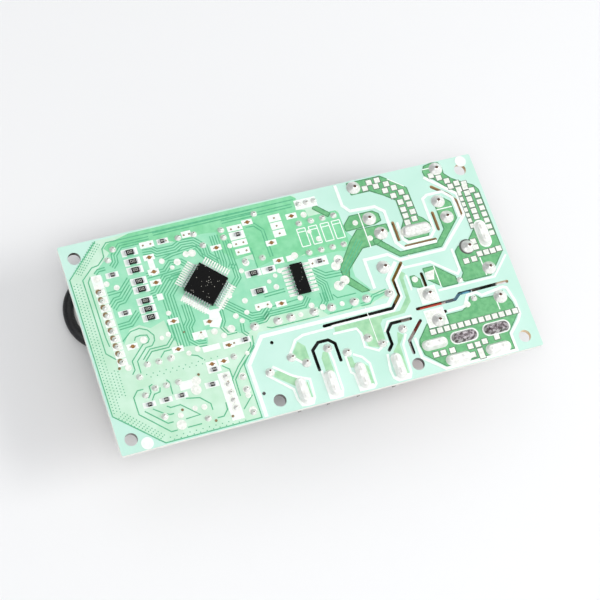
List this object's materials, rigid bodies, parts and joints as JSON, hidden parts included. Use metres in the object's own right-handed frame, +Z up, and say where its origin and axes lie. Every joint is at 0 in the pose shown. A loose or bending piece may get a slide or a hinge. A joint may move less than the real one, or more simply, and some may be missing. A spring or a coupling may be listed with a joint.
{
  "type": "power supply board",
  "caption": "Rectangular single-sided relay and power supply board, solder side up, with a square control chip, relays, blade terminals and routed isolation slots.",
  "frame": {"origin": "centre of the base rectangle under the board, on the surface it lies on", "axes": "+X along the long edge towards the mains terminals, +Y along the short edge away from the push-on tabs, +Z up out of the solder side"},
  "size_m": [0.136, 0.067, 0.0291],
  "materials": {
    "laminate": "glossy solder mask",
    "epoxy_black": "moulded epoxy",
    "tin_plate": "tinned",
    "solder": "bright solder",
    "resistor_glaze": "glazed",
    "relay_case": "moulded",
    "relay_base": "moulded",
    "can_sleeve": "shrunk sleeve",
    "film_yellow": "moulded box",
    "film_red": "dipped epoxy",
    "signal_case": "moulded box",
    "disc_blue": "dipped epoxy",
    "disc_black": "dipped epoxy",
    "diode_body": "moulded, with a band",
    "resistor_body": "lacquered",
    "header_nylon": "moulded nylon",
    "lead_black": "smooth sleeve",
    "brass_tin": "tinned brass"
  },
  "bodies": {
    "root": {"board": "laminate", "microcontroller_body": "epoxy_black", "driver_chip_body": "epoxy_black", "regulator_body": "epoxy_black", "microcontroller_leads": "tin_plate", "driver_chip_leads": "tin_plate", "chip_resistor_ends": "tin_plate", "relay_pins": "tin_plate", "component_leads": "tin_plate", "wire_links": "tin_plate", "header_pins": "tin_plate", "regulator_tab": "tin_plate", "power_bar": "tin_plate", "tab_joints": "solder", "lead_joints": "solder", "header_joints": "solder", "power_joints": "solder", "chip_resistor_bodies": "resistor_glaze", "main_relay_case_1": "relay_case", "main_relay_case_2": "relay_case", "channel_relay_case_1": "relay_case", "channel_relay_case_2": "relay_case", "channel_relay_case_3": "relay_case", "channel_relay_case_4": "relay_case", "main_relay_base_1": "relay_base", "main_relay_base_2": "relay_base", "channel_relay_base_1": "relay_base", "channel_relay_base_2": "relay_base", "channel_relay_base_3": "relay_base", "channel_relay_base_4": "relay_base", "tab_terminal_1": "brass_tin", "tab_terminal_2": "brass_tin", "tab_terminal_3": "brass_tin", "tab_terminal_4": "brass_tin", "tab_terminal_5": "brass_tin", "tab_terminal_6": "brass_tin", "tab_terminal_7": "brass_tin", "tab_terminal_8": "brass_tin", "main_capacitor": "can_sleeve", "filter_capacitor": "can_sleeve", "timing_capacitor": "can_sleeve", "film_capacitor": "film_yellow", "snubber_capacitor": "film_red", "signal_capacitor": "signal_case", "varistor": "disc_blue", "thermistor": "disc_black", "rectifier_1": "diode_body", "rectifier_2": "diode_body", "rectifier_3": "diode_body", "rectifier_4": "diode_body", "axial_resistors": "resistor_body", "panel_header": "header_nylon", "switch_header": "header_nylon", "panel_plug": "header_nylon", "lead_end_plug": "header_nylon", "lead_boot": "lead_black", "lead_sleeve": "lead_black"}
  },
  "joints": []
}
